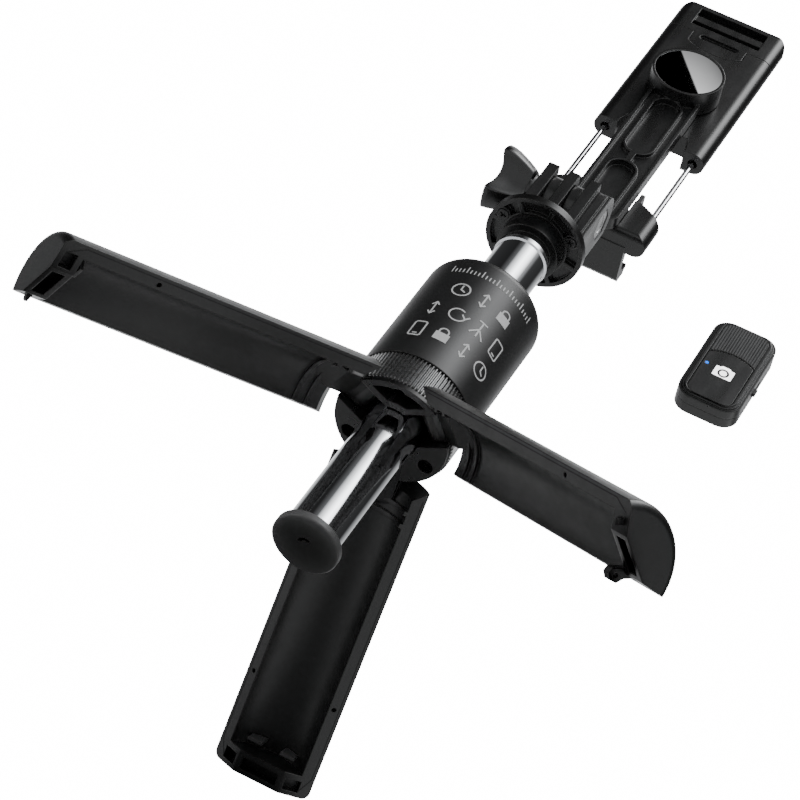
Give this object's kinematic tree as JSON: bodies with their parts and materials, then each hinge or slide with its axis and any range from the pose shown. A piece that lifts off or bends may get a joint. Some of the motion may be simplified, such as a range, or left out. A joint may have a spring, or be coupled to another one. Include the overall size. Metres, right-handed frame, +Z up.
{
  "type": "tripod selfie stick",
  "caption": "Telescopic pole in a hub with folding trough legs, a tilting cranked arm with a round mirror, a spring phone clamp that spins, and a separate remote.",
  "frame": {"origin": "centre of the flat outer face of the end cap, at the bottom of the pole; the floor under the open legs is 1.4 mm lower", "axes": "+Z up along the pole, +Y towards the side on which the phone lies, +X along the hinge pin towards its nut"},
  "size_m": [0.1668, 0.1479, 0.2948],
  "materials": {
    "black_plastic": "fine satin",
    "clamp_plastic": "fine satin",
    "inner_plastic": "satin",
    "remote_plastic": "satin",
    "chrome": "bright, drawn along the tube",
    "screw_steel": "satin",
    "mirror": "polished",
    "pad_rubber": "matte",
    "led": "clear lens",
    "board": "lacquered"
  },
  "bodies": {
    "base": {"hub_yoke": "black_plastic", "knurled_band": "black_plastic", "body_shell": "black_plastic", "guide_bush": "inner_plastic", "hub_screws": "screw_steel", "leg_hinge_pins": "screw_steel"},
    "left_leg": {"leg_left": "black_plastic", "leg_left_clip": "inner_plastic"},
    "right_leg": {"leg_right": "black_plastic", "leg_right_clip": "inner_plastic"},
    "rear_leg": {"leg_rear": "black_plastic", "leg_rear_clips": "inner_plastic"},
    "pole": {"outer_tube": "chrome", "end_cap": "black_plastic"},
    "section_2": {"tube_2": "chrome"},
    "section_3": {"tube_3": "chrome"},
    "section_4": {"tube_4": "chrome"},
    "section_5": {"tube_5": "chrome"},
    "head": {"tube_6": "chrome", "head_socket": "black_plastic", "flange_disc": "black_plastic", "flange_screws": "screw_steel", "hinge_block": "black_plastic", "hinge_nut": "screw_steel"},
    "knob": {"thumb_knob": "black_plastic", "hinge_bolt": "screw_steel"},
    "arm": {"arm_beam": "black_plastic", "arm_back_cover": "black_plastic", "mirror_disc": "mirror"},
    "clamp": {"clamp_housing": "clamp_plastic", "clamp_front_plate": "clamp_plastic", "clamp_pivot_stud": "screw_steel", "upper_jaw": "clamp_plastic", "upper_jaw_pad": "pad_rubber", "clamp_pad": "pad_rubber", "jaw_springs": "screw_steel"},
    "jaw": {"lower_jaw": "clamp_plastic", "lower_jaw_pad": "pad_rubber", "jaw_rods": "chrome", "rod_clips": "screw_steel"},
    "remote": {"remote_case_back": "remote_plastic", "remote_case_front": "remote_plastic", "remote_panel": "remote_plastic", "remote_led": "led", "remote_battery": "screw_steel", "remote_circuit_board": "board"},
    "remote_key": {"remote_button": "remote_plastic"},
    "remote_slider": {"remote_switch": "remote_plastic"}
  },
  "joints": [
    {"name": "leg_left_fold", "type": "hinge", "parent": "base", "child": "left_leg", "pos_m": [-0.00909, -0.00525, 0.05012], "axis": [0.5, -0.866, 0], "range_deg": [0, 60.25]},
    {"name": "leg_right_fold", "type": "hinge", "parent": "base", "child": "right_leg", "pos_m": [0.00909, -0.00525, 0.05012], "axis": [0.5, 0.866, 0], "range_deg": [0, 60.25]},
    {"name": "leg_rear_fold", "type": "hinge", "parent": "base", "child": "rear_leg", "pos_m": [0, 0.0105, 0.05012], "axis": [-1, 0, 0], "range_deg": [0, 60.25]},
    {"name": "pole_slide", "type": "slide", "parent": "base", "child": "pole", "axis": [0, 0, 1], "range_m": [-0.0238, 0.0415]},
    {"name": "section_2_slide", "type": "slide", "parent": "pole", "child": "section_2", "axis": [0, 0, 1], "range_m": [0, 0.1]},
    {"name": "section_3_slide", "type": "slide", "parent": "section_2", "child": "section_3", "axis": [0, 0, 1], "range_m": [0, 0.1]},
    {"name": "section_4_slide", "type": "slide", "parent": "section_3", "child": "section_4", "axis": [0, 0, 1], "range_m": [0, 0.1]},
    {"name": "section_5_slide", "type": "slide", "parent": "section_4", "child": "section_5", "axis": [0, 0, 1], "range_m": [0, 0.1]},
    {"name": "head_slide", "type": "slide", "parent": "section_5", "child": "head", "axis": [0, 0, 1], "range_m": [0, 0.1]},
    {"name": "knob_turn", "type": "hinge", "parent": "head", "child": "knob", "pos_m": [0, 0, 0.1471], "axis": [1, 0, 0], "continuous": true},
    {"name": "arm_tilt", "type": "hinge", "parent": "head", "child": "arm", "pos_m": [0, 0, 0.1471], "axis": [1, 0, 0], "range_deg": [-55, 90]},
    {"name": "clamp_spin", "type": "hinge", "parent": "arm", "child": "clamp", "pos_m": [0, 0, 0.2491], "axis": [0, 1, 0], "continuous": true},
    {"name": "jaw_slide", "type": "slide", "parent": "clamp", "child": "jaw", "axis": [0, 0, 1], "range_m": [-0.008, 0.0285], "deforming": ["jaw_springs"]},
    {"name": "remote_slide", "type": "slide", "parent": "base", "child": "remote", "axis": [1, 0, 0], "range_m": [0, 0.06]},
    {"name": "remote_key_press", "type": "slide", "parent": "remote", "child": "remote_key", "axis": [0, 1, 0], "range_m": [0, 0.0004], "stiffness_N_per_m": 150},
    {"name": "remote_switch_slide", "type": "slide", "parent": "remote", "child": "remote_slider", "axis": [0, 0, 1], "range_m": [0, 0.0028]}
  ]
}
